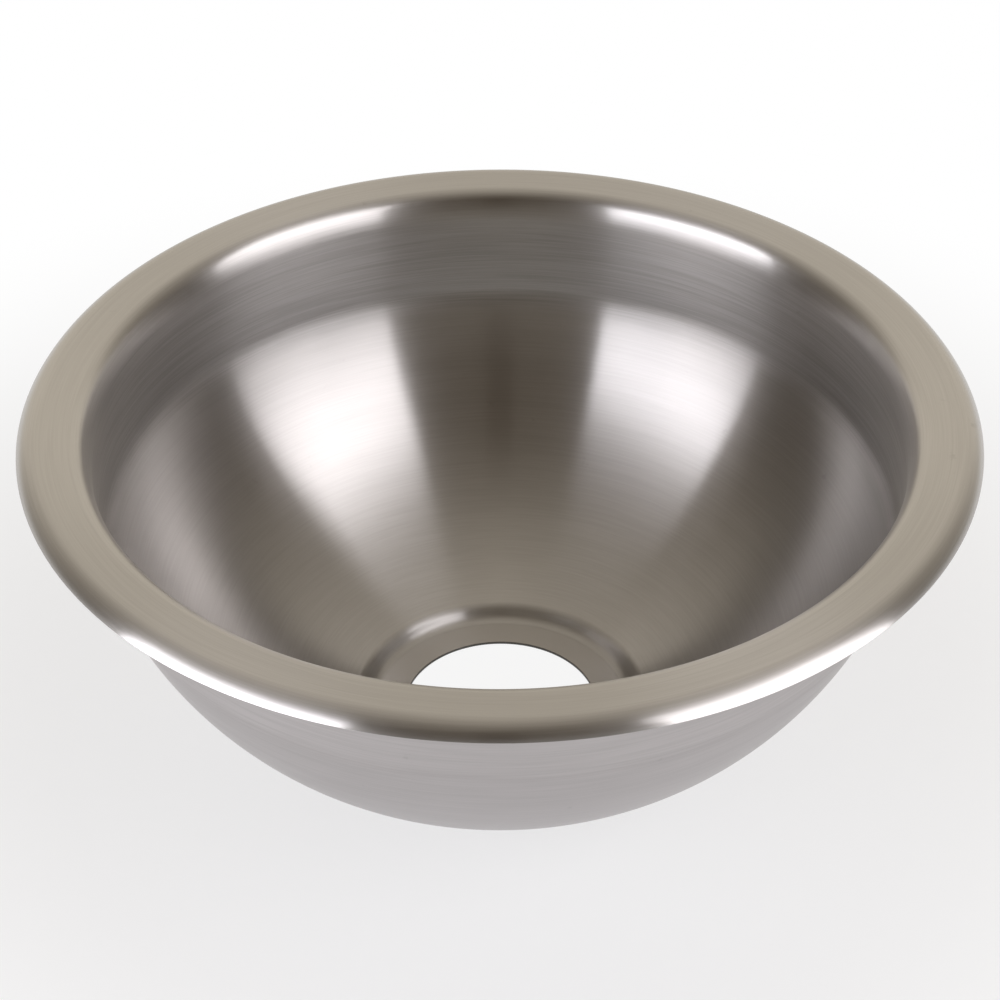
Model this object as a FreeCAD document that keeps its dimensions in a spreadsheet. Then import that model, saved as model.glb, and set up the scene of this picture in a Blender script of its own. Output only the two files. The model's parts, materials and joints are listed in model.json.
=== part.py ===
import FreeCAD, Part
import math
import os

import Sketcher
from FreeCAD import Placement, Rotation, Vector

# Round drop-in sink drawn from one stainless sheet, with its rim gasket and its hold-down clamps.
# Millimetres and degrees. +Z is up, the origin is the middle of the outlet, on the sheet's underside.

SIZES = {
    # Drawn sheet, from the outlet up to the rim
    "sheet_thickness": 1.2,
    "outlet_radius": 44.45,
    "seat_width": 16.55,
    "step_run": 4.6,
    "step_rise": 5.2,
    "step_edge_radius": 9.0,
    "step_root_radius": 7.0,
    "bowl_depth": 167.2,
    "bowl_angle": 18.6,
    "break_radius": 20.0,
    "collar_depth": 53.8,
    "collar_taper": 3.5,
    "ease_radius": 26.0,
    "ease_angle": 25.0,
    "mouth_radius": 187.5,
    "mouth_fillet": 7.4,
    "flange_width": 12.9,
    "roll_radius": 10.6,
    "lip_drop": 6.12,
    # Foam gasket under the rolled edge
    "gasket_inset": 0.8,
    "gasket_gap": 0.25,
    "gasket_setback": 0.3,
    # Threaded studs welded under the flange
    "stud_radius": 2.5,
    "stud_base_rim": 1.0,
    "stud_base_height": 0.8,
    "stud_base_margin": 0.5,
    "stud_tip_chamfer": 0.6,
    "thread_end": 1.0,
    "running_clearance": 0.06,
    # Hexagon nuts and flat washers
    "nut_wall": 1.5,
    "nut_height": 4.7,
    "nut_chamfer_angle": 30.0,
    "nut_travel": 8.0,
    "washer_rim": 0.4,
    "washer_thickness": 1.0,
    # Bent strap clamps
    "clamp_hang": 5.8,
    "clamp_thickness": 2.0,
    "clamp_width": 10.0,
    "clamp_bend": 0.8,
    "clamp_edge": 0.25,
    "heel_clearance": 1.6,
    "heel_rise": 2.0,
    "leg_clearance": 1.0,
    "leg_drop": 10.0,
    "foot_length": 13.0,
    "toe_rise": 2.0,
}
# How much of the step's bevel each of its two roundings may take
ROUNDING_SHARE = 0.48
STATIONS = 4
STATION_STEP = 360.0 / STATIONS
FIRST_STATION = STATION_STEP / 2


class Size:
    """A length that carries both its value and its expression on the sheet."""

    def __init__(self, value, text):
        self.value = value
        self.text = text

    def _with(self, other, symbol, value):
        return Size(value, f"({self.text} {symbol} {as_size(other).text})")

    def __add__(self, other):
        return self._with(other, "+", self.value + as_size(other).value)

    def __sub__(self, other):
        return self._with(other, "-", self.value - as_size(other).value)

    def __mul__(self, other):
        return self._with(other, "*", self.value * as_size(other).value)

    def __truediv__(self, other):
        return self._with(other, "/", self.value / as_size(other).value)

    def __neg__(self):
        return Size(-self.value, f"(-{self.text})")

    def root(self):
        return Size(math.sqrt(self.value), f"sqrt({self.text})")

    def sine(self):
        return Size(math.sin(math.radians(self.value)), f"sin({self.text})")

    def cosine(self):
        return Size(math.cos(math.radians(self.value)), f"cos({self.text})")

    def tangent(self):
        return Size(math.tan(math.radians(self.value)), f"tan({self.text})")

    def arctangent(self):
        return Size(math.degrees(math.atan(self.value)), f"(atan({self.text}) / 1 deg)")

    def at_most(self, other):
        return Size(min(self.value, other.value), f"min({self.text}; {other.text})")


def as_size(number):
    """Plain numbers join expressions as they are."""
    return number if isinstance(number, Size) else Size(float(number), repr(float(number)))


doc = FreeCAD.newDocument("Sink")
sheet = doc.addObject("Spreadsheet::Sheet", "Sizes")
for row, (alias, number) in enumerate(SIZES.items(), start=1):
    sheet.set(f"A{row}", alias.replace("_", " "))
    sheet.set(f"B{row}", str(number))
    sheet.setAlias(f"B{row}", alias)
doc.recompute()


def size(alias):
    """The sheet's cell of that name."""
    return Size(float(sheet.get(alias)), f"{sheet.Name}.{alias}")


NOTHING = as_size(0)
# How constraints number the sketch's origin and the points of an element
ORIGIN = (-1, 1)
START, END, MIDDLE = range(1, 4)

# Heights and radii that several pieces share
thickness = size("sheet_thickness")
rim_height = size("bowl_depth") + thickness
flange_underside = rim_height - thickness
lip_height = rim_height - size("lip_drop")
roll_centre_radius = size("mouth_radius") + size("flange_width")
roll_centre_height = rim_height - size("roll_radius")
stud_base = size("stud_radius") + size("stud_base_rim")
stud_circle = size("mouth_radius") + stud_base + size("stud_base_margin")
stud_bore = size("stud_radius") + size("running_clearance")
saddle_top = flange_underside - size("clamp_hang")
saddle_underside = saddle_top - size("clamp_thickness")
washer_underside = saddle_underside - size("washer_thickness")
nut_underside = washer_underside - size("nut_height")
stud_tip = nut_underside - size("nut_travel") - size("thread_end")
nut_flat = size("stud_radius") + size("nut_wall")
nut_corner = nut_flat * 2 / math.sqrt(3)
washer_radius = nut_corner + size("washer_rim")


class Outline:
    """A sketch on one of its body's own planes, whose dimensions are bound to the sheet."""

    def __init__(self, body, name, plane, offset=None):
        self.sketch = body.newObject("Sketcher::SketchObject", name)
        support = next(item for item in body.Origin.OriginFeatures if item.Role == plane)
        self.sketch.AttachmentSupport = (support, [""])
        self.sketch.MapMode = "FlatFace"
        if offset is not None:
            self.sketch.setExpression("AttachmentOffset.Base.z", offset.text)

    def line(self, start, end, construction=False):
        segment = Part.LineSegment(Vector(*start, 0), Vector(*end, 0))
        return self.sketch.addGeometry(segment, construction)

    def arc(self, centre, radius, start, end):
        """Arc drawn anticlockwise between two directions in degrees."""
        circle = Part.Circle(Vector(*centre, 0), Vector(0, 0, 1), radius)
        return self.sketch.addGeometry(Part.ArcOfCircle(circle, math.radians(start), math.radians(end)))

    def point(self, place):
        return self.sketch.addGeometry(Part.Point(Vector(*place, 0)), True)

    def rule(self, kind, *targets):
        return self.sketch.addConstraint(Sketcher.Constraint(kind, *targets))

    def dimension(self, kind, amount, *targets):
        """Dimension whose number follows the sheet."""
        value = math.radians(amount.value) if kind == "Angle" else amount.value
        index = self.rule(kind, *targets, value)
        unit = " * 1 deg" if kind == "Angle" else ""
        self.sketch.setExpression(f"Constraints[{index}]", amount.text + unit)

    def place(self, item, end, x=None, y=None):
        """Distances of a point from the sketch's origin."""
        if x is not None:
            self.dimension("DistanceX", x, *ORIGIN, item, end)
        if y is not None:
            self.dimension("DistanceY", y, *ORIGIN, item, end)

    def polygon(self, corners):
        """Closed straight-edged outline through corners given as pairs of sizes."""
        ends = [(x.value, y.value) for x, y in corners]
        edges = [self.line(here, there) for here, there in zip(ends, ends[1:] + ends[:1])]
        for edge, after, (x, y) in zip(edges, edges[1:] + edges[:1], corners):
            self.rule("Coincident", edge, END, after, START)
            self.place(edge, START, x, y)

    def strap(self, corners):
        """Closed outline of level and upright edges; corners are x, y and the radius that rounds them."""
        count = len(corners)
        places = [Vector(x.value, y.value, 0) for x, y, _ in corners]
        bends = []
        for index, (_, _, radius) in enumerate(corners):
            back = (places[index - 1] - places[index]).normalize() * radius.value
            ahead = (places[(index + 1) % count] - places[index]).normalize() * radius.value
            bends.append((back, ahead, back.cross(ahead).z < 0))
        edges = []
        for index in range(count):
            after = (index + 1) % count
            leave = places[index] + bends[index][1]
            arrive = places[after] + bends[after][0]
            edges.append(self.line((leave.x, leave.y), (arrive.x, arrive.y)))
        for index, (back, ahead, leftward) in enumerate(bends):
            radius = corners[index][2]
            centre = places[index] + back + ahead
            first = ahead if leftward else back
            start = math.degrees(math.atan2(-first.y, -first.x))
            bend = self.arc((centre.x, centre.y), radius.value, start, start + 90)
            self.rule("Tangent", edges[index - 1], END, bend, START if leftward else END)
            self.rule("Tangent", edges[index], START, bend, END if leftward else START)
            self.dimension("Radius", radius, bend)
        for index, edge in enumerate(edges):
            x, y, _ = corners[index]
            level = corners[(index + 1) % count][1] is y
            self.rule("Horizontal" if level else "Vertical", edge)
            self.place(edge, START, None if level else x, y if level else None)

    def stud_hole(self):
        """Round hole on the stud's axis, for a sketch seen from above."""
        circle = Part.Circle(Vector(stud_circle.value, 0, 0), Vector(0, 0, 1), stud_bore.value)
        hole = self.sketch.addGeometry(circle)
        self.rule("PointOnObject", hole, MIDDLE, -1)
        self.place(hole, MIDDLE, stud_circle)
        self.dimension("Radius", stud_bore, hole)


def new_body(label):
    body = doc.addObject("PartDesign::Body", label)
    body.Label = label
    return body


def turn(body, outline, axis, kind="Revolution"):
    """Full turn of an outline about an axis of its own sketch, which adds or cuts."""
    turned = body.newObject(f"PartDesign::{kind}", f"{outline.sketch.Name}_turned")
    turned.Profile = outline.sketch
    turned.ReferenceAxis = (outline.sketch, [axis])
    turned.Angle = 360.0
    return turned


def turn_on_stud(body, name, shapes, kind="Revolution"):
    """Turns closed shapes about a stud's axis; their corners are distances from the axis and heights."""
    outline = Outline(body, name, "XZ_Plane")
    for corners in shapes:
        outline.polygon([(stud_circle + out, up) for out, up in corners])
    axis = outline.line((stud_circle.value, stud_tip.value), (stud_circle.value, rim_height.value), True)
    outline.rule("Vertical", axis)
    outline.place(axis, START, stud_circle, stud_tip)
    outline.place(axis, END, None, rim_height)
    return turn(body, outline, "Axis0", kind)


def at_station(body, steps):
    """Turns a piece drawn on the +X side to its place round the rim."""
    body.Placement = Placement(Vector(), Rotation(Vector(0, 0, 1), FIRST_STATION + steps * STATION_STEP))


def make_bowl():
    """The drawn sheet: rolled edge, flange, collar, bowl, step and outlet seat, one even thickness."""
    body = new_body("bowl")
    outline = Outline(body, "sheet_section", "XZ_Plane")
    gauge = thickness.value
    rim = rim_height.value
    roll = size("roll_radius")
    mouth = size("mouth_radius")
    fillet = size("mouth_fillet")
    ease = size("ease_radius")
    tilt = size("ease_angle")
    taper = size("collar_taper")
    lean = size("bowl_angle")
    bend = size("break_radius")
    run = size("step_run")
    rise = size("step_rise")
    seat_edge = size("outlet_radius") + size("seat_width")
    step_edge = seat_edge + run
    step_height = thickness + rise
    break_height = rim_height - size("collar_depth")

    # The collar's line, down to the corner that the break rounds
    ease_out = mouth + (ease - fillet) * tilt.cosine()
    ease_up = rim_height - fillet - (ease - fillet) * tilt.sine()
    collar_top = ease_up + ease * taper.sine()
    corner_out = ease_out - ease * taper.cosine() - (collar_top - break_height) * taper.tangent()

    # The bowl's arc leaves its chord alike at both ends; the step's roundings are limited by its bevel
    chord_slope = ((break_height - step_height) / (corner_out - step_edge)).arctangent()
    bowl_slope = chord_slope * 2 + lean - 90
    bevel_slope = (rise / run).arctangent()
    setback = (run * run + rise * rise).root() * ROUNDING_SHARE
    edge_turn = bevel_slope - bowl_slope
    edge = size("step_edge_radius").at_most(setback / (edge_turn / 2).tangent())
    root = size("step_root_radius").at_most(setback / (bevel_slope / 2).tangent())

    def beside(place, direction, distance):
        angle = math.radians(direction)
        return (place[0] + distance * math.cos(angle), place[1] + distance * math.sin(angle))

    # First positions of the centres and of the corners that the rounded edges leave out
    roll_centre = (roll_centre_radius.value, roll_centre_height.value)
    lip_turn = math.degrees(math.asin((lip_height.value - roll_centre[1]) / roll.value))
    lip_turn_under = math.degrees(math.asin((lip_height.value - roll_centre[1]) / (roll.value - gauge)))
    fillet_centre = (mouth.value, rim - fillet.value)
    ease_centre = (ease_out.value, ease_up.value)
    corner = (corner_out.value, break_height.value)
    step = (step_edge.value, step_height.value)
    chord = math.hypot(corner[0] - step[0], corner[1] - step[1])
    bowl_radius = chord / 2 / math.sin(math.radians(chord_slope.value - bowl_slope.value))
    bowl_centre = beside(corner, 180 - lean.value, bowl_radius)
    bowl_end = bowl_slope.value - 90
    bevel_angle = bevel_slope.value
    bend_centre = beside(corner, 180 - (taper.value + lean.value) / 2, bend.value)
    edge_centre = beside(step, (bowl_end + 180 + 90 + bevel_angle) / 2 - 180, edge.value)
    root_centre = beside((seat_edge.value, gauge), 90 + bevel_angle / 2, root.value)

    def side(depth):
        """One face of the sheet, drawn from the rolled edge down to the outlet, depth under the top face."""
        bevel_out = beside(edge_centre, 90 + bevel_angle, edge.value - depth)
        bevel_in = beside(root_centre, bevel_angle - 90, root.value + depth)
        seat_out = beside(root_centre, -90, root.value + depth)
        bend_in = beside(bend_centre, -taper.value, bend.value + depth)
        lip = lip_turn if depth == 0 else lip_turn_under
        return [
            outline.arc(roll_centre, roll.value - depth, lip, 90),
            outline.line((roll_centre[0], rim - depth), (mouth.value, rim - depth)),
            outline.arc(fillet_centre, fillet.value - depth, 90, 180 - tilt.value),
            outline.arc(ease_centre, ease.value - depth, 180 - tilt.value, 180 - taper.value),
            outline.line(beside(ease_centre, 180 - taper.value, ease.value - depth), bend_in),
            outline.arc(bend_centre, bend.value + depth, -lean.value, -taper.value),
            outline.arc(bowl_centre, bowl_radius + depth, bowl_end, -lean.value),
            outline.arc(edge_centre, edge.value - depth, bowl_end + 180, 90 + bevel_angle),
            outline.line(bevel_out, bevel_in),
            outline.arc(root_centre, root.value + depth, -90, bevel_angle - 90),
            outline.line(seat_out, (size("outlet_radius").value, gauge - depth)),
        ]

    top = side(0)
    under = side(gauge)
    for face in (top, under):
        (roll_arc, flange, fillet_arc, ease_arc, collar, bend_arc,
         bowl_arc, edge_arc, bevel, root_arc, seat) = face
        outline.rule("Tangent", roll_arc, END, flange, START)
        outline.rule("Tangent", flange, END, fillet_arc, START)
        outline.rule("Tangent", fillet_arc, END, ease_arc, START)
        outline.rule("Tangent", ease_arc, END, collar, START)
        outline.rule("Tangent", collar, END, bend_arc, END)
        outline.rule("Tangent", bend_arc, START, bowl_arc, END)
        outline.rule("Tangent", bowl_arc, START, edge_arc, START)
        outline.rule("Tangent", edge_arc, END, bevel, START)
        outline.rule("Tangent", bevel, END, root_arc, END)
        outline.rule("Tangent", root_arc, START, seat, START)
        outline.rule("Horizontal", flange)
        outline.rule("Horizontal", seat)
    for upper, lower in zip(top, under):
        if isinstance(outline.sketch.Geometry[upper], Part.ArcOfCircle):
            outline.rule("Coincident", upper, MIDDLE, lower, MIDDLE)

    (roll_arc, flange, fillet_arc, ease_arc, collar, bend_arc,
     bowl_arc, edge_arc, bevel, root_arc, seat) = top
    outline.rule("Parallel", collar, under[top.index(collar)])
    outline.rule("Parallel", bevel, under[top.index(bevel)])

    # The raw edges at the outlet and under the lip
    outlet = outline.line((size("outlet_radius").value, gauge), (size("outlet_radius").value, 0))
    outline.rule("Coincident", seat, END, outlet, START)
    outline.rule("Coincident", outlet, END, under[-1], END)
    outline.rule("Vertical", outlet)
    outline.rule("PointOnObject", outlet, END, -1)
    outline.place(outlet, START, size("outlet_radius"), thickness)
    lip_inside = beside(roll_centre, lip_turn_under, roll.value - gauge)
    lip = outline.line(lip_inside, beside(roll_centre, lip_turn, roll.value))
    outline.rule("Coincident", under[0], START, lip, START)
    outline.rule("Coincident", lip, END, roll_arc, START)
    outline.rule("Horizontal", lip)
    outline.place(lip, END, None, lip_height)

    # Rim and collar
    outline.place(flange, START, roll_centre_radius, rim_height)
    outline.place(flange, END, mouth)
    outline.dimension("Radius", roll, roll_arc)
    outline.dimension("Radius", fillet, fillet_arc)
    outline.dimension("Radius", ease, ease_arc)
    outline.dimension("Radius", bend, bend_arc)
    outline.dimension("Radius", edge, edge_arc)
    outline.dimension("Radius", root, root_arc)
    outline.dimension("Angle", as_size(90) - taper, -1, START, collar, END)
    centre_line = outline.line(ease_centre, fillet_centre, construction=True)
    outline.rule("Coincident", centre_line, START, ease_arc, MIDDLE)
    outline.rule("Coincident", centre_line, END, fillet_arc, MIDDLE)
    outline.dimension("Angle", as_size(180) - tilt, -1, START, centre_line, START)

    # Corners where collar, bowl, bevel and seat would meet if they weren't rounded
    break_corner = outline.point(corner)
    outline.rule("PointOnObject", break_corner, START, collar)
    outline.rule("PointOnObject", break_corner, START, bowl_arc)
    outline.place(break_corner, START, None, break_height)
    spoke = outline.line(corner, bowl_centre, construction=True)
    outline.rule("Coincident", spoke, START, break_corner, START)
    outline.rule("Coincident", spoke, END, bowl_arc, MIDDLE)
    outline.dimension("Angle", as_size(180) - lean, -1, START, spoke, START)
    step_corner = outline.point(step)
    outline.rule("PointOnObject", step_corner, START, bowl_arc)
    outline.rule("PointOnObject", step_corner, START, bevel)
    outline.place(step_corner, START, step_edge, step_height)
    seat_corner = outline.point((seat_edge.value, gauge))
    outline.rule("PointOnObject", seat_corner, START, bevel)
    outline.rule("PointOnObject", seat_corner, START, seat)
    outline.place(seat_corner, START, seat_edge)

    turn(body, outline, "V_Axis")
    return body


def make_gasket():
    """Foam ring that fills the rolled edge and seals it on the worktop."""
    body = new_body("rim_gasket")
    outline = Outline(body, "gasket_section", "XZ_Plane")
    centre = (roll_centre_radius.value, roll_centre_height.value)
    reach = size("roll_radius") - thickness - size("gasket_gap")
    inside = roll_centre_radius + size("gasket_inset")
    base = lip_height + size("gasket_setback")
    high = math.acos(size("gasket_inset").value / reach.value)
    low = math.asin((base.value - centre[1]) / reach.value)
    arc_top = (inside.value, centre[1] + reach.value * math.sin(high))
    arc_end = (centre[0] + reach.value * math.cos(low), base.value)
    wall = outline.line((inside.value, base.value), arc_top)
    crown = outline.arc(centre, reach.value, math.degrees(low), math.degrees(high))
    sole = outline.line(arc_end, (inside.value, base.value))
    outline.rule("Coincident", wall, END, crown, END)
    outline.rule("Coincident", crown, START, sole, START)
    outline.rule("Coincident", sole, END, wall, START)
    outline.rule("Vertical", wall)
    outline.rule("Horizontal", sole)
    outline.place(wall, START, inside, base)
    outline.place(crown, MIDDLE, roll_centre_radius, roll_centre_height)
    outline.dimension("Radius", reach, crown)
    turn(body, outline, "V_Axis")
    return body


def make_studs():
    """Threaded studs with a weld base, spaced evenly under the flange."""
    body = new_body("weld_studs")
    shank = size("stud_radius")
    chamfer = size("stud_tip_chamfer")
    shoulder = flange_underside - size("stud_base_height")
    stud = turn_on_stud(body, "stud_section", [[
        (NOTHING, flange_underside),
        (stud_base, flange_underside),
        (stud_base, shoulder),
        (shank, shoulder),
        (shank, stud_tip + chamfer),
        (shank - chamfer, stud_tip),
        (NOTHING, stud_tip),
    ]])
    doc.recompute()
    ring = body.newObject("PartDesign::PolarPattern", "stud_ring")
    ring.Originals = [stud]
    axis = next(item for item in body.Origin.OriginFeatures if item.Role == "Z_Axis")
    ring.Axis = (axis, [""])
    ring.Angle = 360.0
    ring.Occurrences = STATIONS
    body.Tip = ring
    at_station(body, 0)
    return body


def make_clamp(number):
    """Bent strap: heel under the flange, saddle on the stud, leg in the cut-out, foot under the worktop."""
    body = new_body(f"clamp_{number}")
    side = Outline(body, f"strap_side_{number}", "YZ_Plane", stud_circle)
    strap = size("clamp_thickness")
    inner = size("clamp_bend")
    outer = inner + strap
    edge = size("clamp_edge")
    # The heel's corners clear the collar as the clamp swings
    collar_gap = stud_circle - (size("mouth_radius") - size("mouth_fillet") + thickness)
    corner_reach = collar_gap - size("heel_clearance")
    half_width = size("clamp_width") / 2
    heel = -(corner_reach * corner_reach - half_width * half_width).root()
    heel_inside = heel + strap
    heel_top = saddle_top + size("heel_rise")
    leg_inside = washer_radius + size("leg_clearance")
    leg = leg_inside + strap
    foot_top = saddle_top - size("leg_drop")
    foot_underside = foot_top - strap
    toe = leg + size("foot_length")
    toe_inside = toe - strap
    toe_top = foot_top + size("toe_rise")
    side.strap([
        (heel, saddle_underside, outer),
        (leg_inside, saddle_underside, inner),
        (leg_inside, foot_underside, outer),
        (toe, foot_underside, outer),
        (toe, toe_top, edge),
        (toe_inside, toe_top, edge),
        (toe_inside, foot_top, inner),
        (leg, foot_top, inner),
        (leg, saddle_top, outer),
        (heel_inside, saddle_top, inner),
        (heel_inside, heel_top, edge),
        (heel, heel_top, edge),
    ])
    blank = body.newObject("PartDesign::Pad", f"strap_{number}")
    blank.Profile = side.sketch
    blank.Midplane = True
    blank.setExpression("Length", size("clamp_width").text)
    doc.recompute()
    whole = blank.Shape.Volume
    plan = Outline(body, f"strap_plan_{number}", "XY_Plane", saddle_top)
    plan.stud_hole()
    hole = body.newObject("PartDesign::Pocket", f"strap_hole_{number}")
    hole.Profile = plan.sketch
    hole.setExpression("Length", strap.text)
    doc.recompute()
    if hole.Shape.Volume >= whole:
        raise RuntimeError(f"{body.Label} has no stud hole")
    at_station(body, number - 1)
    return body


def make_washer(number):
    """Flat washer between the clamp's saddle and its nut."""
    body = new_body(f"washer_{number}")
    turn_on_stud(body, f"washer_section_{number}", [[
        (stud_bore, saddle_underside),
        (washer_radius, saddle_underside),
        (washer_radius, washer_underside),
        (stud_bore, washer_underside),
    ]])
    at_station(body, number - 1)
    return body


def make_nut(number):
    """Hexagon nut with its corners turned off at both ends."""
    body = new_body(f"hex_nut_{number}")
    plan = Outline(body, f"nut_plan_{number}", "XY_Plane", nut_underside)
    angles = [math.radians(60 * side) for side in range(6)]
    plan.polygon([(stud_circle + nut_corner * math.cos(a), nut_corner * math.sin(a)) for a in angles])
    plan.stud_hole()
    blank = body.newObject("PartDesign::Pad", f"nut_{number}")
    blank.Profile = plan.sketch
    blank.setExpression("Length", size("nut_height").text)
    doc.recompute()
    whole = blank.Shape.Volume
    beyond = nut_flat * 2
    fall = (beyond - nut_flat) * size("nut_chamfer_angle").tangent()
    chamfers = [
        [(nut_flat, face), (beyond, face), (beyond, face + slope)]
        for face, slope in ((washer_underside, -fall), (nut_underside, fall))
    ]
    turned = turn_on_stud(body, f"nut_chamfers_{number}", chamfers, "Groove")
    doc.recompute()
    if turned.Shape.Volume >= whole:
        raise RuntimeError(f"{body.Label} has no chamfers")
    at_station(body, number - 1)
    return body


pieces = [make_bowl(), make_gasket(), make_studs()]
for station in range(1, STATIONS + 1):
    pieces += [make_clamp(station), make_washer(station), make_nut(station)]
doc.recompute()

for item in doc.Objects:
    if "Invalid" in item.State or "Error" in item.State:
        raise RuntimeError(f"{item.Label} did not build: {item.State}")
for piece in pieces:
    if piece.Shape.isNull() or not piece.Shape.isValid():
        raise RuntimeError(f"{piece.Label} has no valid shape")

os.makedirs("parts", exist_ok=True)
for piece in pieces:
    piece.Shape.exportStep(f"parts/{piece.Label}.step")
    print(piece.Label, len(piece.Shape.Solids), round(piece.Shape.Volume, 2))
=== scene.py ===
"""Dresses a round drop-in sink on a pale studio floor.

The brushed sheet, the foam gasket and the threaded studs are rebuilt here. The clamps, washers and nuts are
the CAD nodes, plated and with broken edges.
"""

import json
import math

import bpy
from mathutils import Matrix, Vector

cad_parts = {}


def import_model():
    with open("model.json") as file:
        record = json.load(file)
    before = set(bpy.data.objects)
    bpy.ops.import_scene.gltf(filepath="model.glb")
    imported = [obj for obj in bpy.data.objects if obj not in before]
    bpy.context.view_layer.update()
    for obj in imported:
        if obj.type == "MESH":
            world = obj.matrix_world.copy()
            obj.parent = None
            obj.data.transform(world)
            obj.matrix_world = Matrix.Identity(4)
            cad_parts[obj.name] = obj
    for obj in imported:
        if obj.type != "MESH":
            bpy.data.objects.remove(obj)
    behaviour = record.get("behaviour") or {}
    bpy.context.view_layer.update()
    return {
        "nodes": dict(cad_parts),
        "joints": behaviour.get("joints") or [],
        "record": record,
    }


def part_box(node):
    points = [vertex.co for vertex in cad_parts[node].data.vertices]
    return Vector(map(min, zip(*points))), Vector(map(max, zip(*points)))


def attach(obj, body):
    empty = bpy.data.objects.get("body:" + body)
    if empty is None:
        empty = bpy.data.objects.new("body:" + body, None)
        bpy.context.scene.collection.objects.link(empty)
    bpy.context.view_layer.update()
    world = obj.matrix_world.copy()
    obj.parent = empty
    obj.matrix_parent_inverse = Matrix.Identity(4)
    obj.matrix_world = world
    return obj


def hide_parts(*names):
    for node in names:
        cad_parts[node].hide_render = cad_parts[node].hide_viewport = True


bl_info = {
    "name": "Round drop-in sink",
    "version": (1, 0, 0),
    "blender": (4, 5, 0),
    "location": "View3D > Sidebar > Sink",
    "description": "Builds the brushed sheet, the gasket and the hold-down hardware of a round sink",
    "category": "Add Mesh",
}

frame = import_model()
RIM_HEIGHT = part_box("bowl")[1].z
STUD_LOW, STUD_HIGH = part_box("weld_studs")
MOUNTS = {mount["name"]: mount for mount in frame["record"]["mounts"]}
SWINGS = [joint for joint in frame["joints"] if joint["name"].endswith("_swing")]
STATIONS = [Vector(joint["pos_m"]) for joint in SWINGS]

BRUSH_MAP = "brushing"
FULL_TURN = 2 * math.pi
QUARTER_TURN = math.pi / 2
SAME_PLACE = 1e-6
SHARP_EDGE = math.radians(40)
NOISE_MEAN = 0.5

# Turn of one face along the round runs of an outline
CORNER_STEP = math.radians(5)
EASE_STEP = math.radians(2)
BREAK_STEP = math.radians(1.5)
BOWL_STEP = math.radians(1)


def length(name, description, default):
    return bpy.props.FloatProperty(
        name=name, description=description, default=default, unit="LENGTH", precision=5
    )


def angle(name, description, degrees):
    return bpy.props.FloatProperty(
        name=name, description=description, default=math.radians(degrees), subtype="ANGLE"
    )


def share(name, description, default):
    return bpy.props.FloatProperty(
        name=name, description=description, default=default, min=0, max=1, subtype="FACTOR"
    )


def number(name, description, default):
    return bpy.props.FloatProperty(name=name, description=description, default=default)


def count(name, description, default):
    return bpy.props.IntProperty(name=name, description=description, default=default, min=1)


def colour(name, description, default):
    return bpy.props.FloatVectorProperty(
        name=name, description=description, default=default, size=3, min=0, max=1, subtype="COLOR"
    )


class SheetSizes(bpy.types.PropertyGroup):
    thickness: length("Gauge", "Thickness of the drawn sheet", 0.0012)
    outlet_radius: length("Outlet radius", "Bare outlet hole", MOUNTS["drain_hole"]["dims"]["r_mm"] / 1000)
    seat_width: length("Seat width", "Flat ring round the outlet", 0.01655)
    step_run: length("Step run", "Bevelled step above the seat, measured level", 0.0046)
    step_rise: length("Step rise", "Bevelled step above the seat, measured upright", 0.0052)
    step_edge_radius: length("Step edge radius", "Rounding at the top of the step", 0.009)
    step_root_radius: length("Step root radius", "Rounding at the foot of the step", 0.007)
    rim_height: length("Rim height", "Top of the flange above the seat's underside", RIM_HEIGHT)
    bowl_angle: angle("Bowl angle", "Lean of the bowl's wall where the collar ends", 18.6)
    break_radius: length("Break radius", "Soft line between collar and bowl", 0.02)
    collar_depth: length("Collar depth", "Break line below the flange", 0.0538)
    collar_taper: angle("Collar taper", "Lean of the collar's wall", 3.5)
    mouth_radius: length("Mouth radius", "Inner edge of the flat flange", 0.1875)
    mouth_fillet: length("Mouth fillet", "Rounding from flange to collar", 0.0074)
    ease_radius: length("Ease radius", "Wider rounding between the mouth fillet and the collar", 0.026)
    ease_angle: angle("Ease angle", "Lean of the wall where the wider rounding starts", 25)
    flange_width: length("Flange width", "Flat part of the rim", 0.0129)
    roll_radius: length("Roll radius", "Rolled outer edge", 0.0106)
    lip_height: length("Lip height", "Raw lower edge of the roll", MOUNTS["counter_rest"]["pos_m"][2])
    edge_rounding: length("Edge rounding", "Deburred corners of the raw edges", 0.0002)
    segments: count("Segments", "Faces round the axis", 320)


class GasketSizes(bpy.types.PropertyGroup):
    inset: length("Inset", "Inner wall beyond the centre of the rolled edge", 0.0008)
    gap: length("Gap", "Foam clear of the sheet", 0.00025)
    setback: length("Setback", "Foam's sole above the lip", 0.0003)
    rounding: length("Rounding", "Soft corners of the strip", 0.0005)
    joint_gap: length("Joint gap", "Slit where the strip's ends meet", 0.0005)
    segments: count("Segments", "Faces round the axis", 240)


class StudSizes(bpy.types.PropertyGroup):
    shank_radius: length("Shank radius", "Outside of the thread", 0.0025)
    base_rim: length("Base rim", "Weld base beyond the shank", 0.001)
    base_height: length("Base height", "Thickness of the weld base", 0.0008)
    weld_fillet: length("Weld fillet", "Melted root between base and shank", 0.0003)
    plain_length: length("Plain length", "Bare shank below the base", 0.0022)
    tip_chamfer: length("Tip chamfer", "Bevel at the free end", 0.0006)
    pitch: length("Pitch", "Distance between threads", 0.0008)
    thread_depth: length("Thread depth", "Groove below the crests", 0.00049)
    flank_slope: number("Flank slope", "Steepness of the thread's flanks", 1.6)
    rows: count("Rows", "Faces along one pitch", 8)
    segments: count("Segments", "Faces round each stud", 32)


class HardwareSizes(bpy.types.PropertyGroup):
    edge_rounding: length("Edge rounding", "Broken edges of straps, washers and nuts", 0.0002)
    edge_faces: count("Edge faces", "Faces across a broken edge", 2)


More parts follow.
